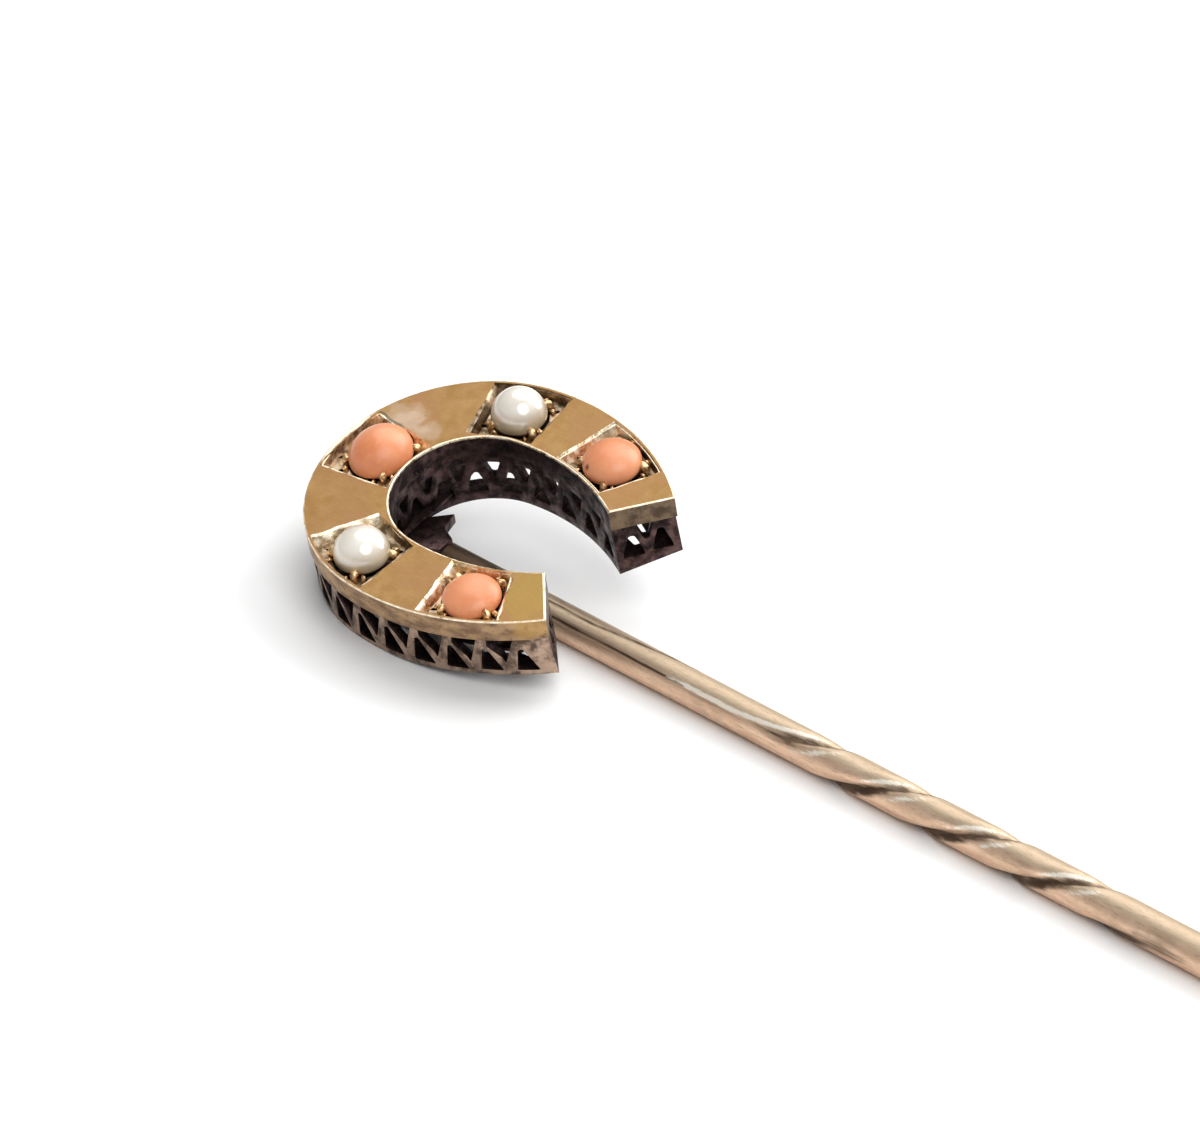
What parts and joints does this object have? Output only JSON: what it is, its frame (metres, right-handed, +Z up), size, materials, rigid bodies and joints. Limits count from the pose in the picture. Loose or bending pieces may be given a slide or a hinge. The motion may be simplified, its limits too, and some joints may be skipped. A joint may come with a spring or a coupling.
{
  "type": "stick pin",
  "caption": "Gold stick pin with a horseshoe head of coral and pearl on a pierced gallery, and a straight stem with a twisted stretch and a sharp point.",
  "frame": {"origin": "on the stem's axis where the plain round shank starts, beyond the twist", "axes": "+X along the stem to its point, +Z up from the surface that the pin lies on"},
  "size_m": [0.0585, 0.0101, 0.0052],
  "materials": {
    "gold": "satin worn gold, dark in the gallery",
    "coral": "polished",
    "pearl": "lustrous"
  },
  "bodies": {
    "root": {"horseshoe_and_stem": "gold", "coral_toe": "coral", "pearl_near": "pearl", "pearl_far": "pearl", "coral_near": "coral", "coral_far": "coral"}
  },
  "joints": []
}
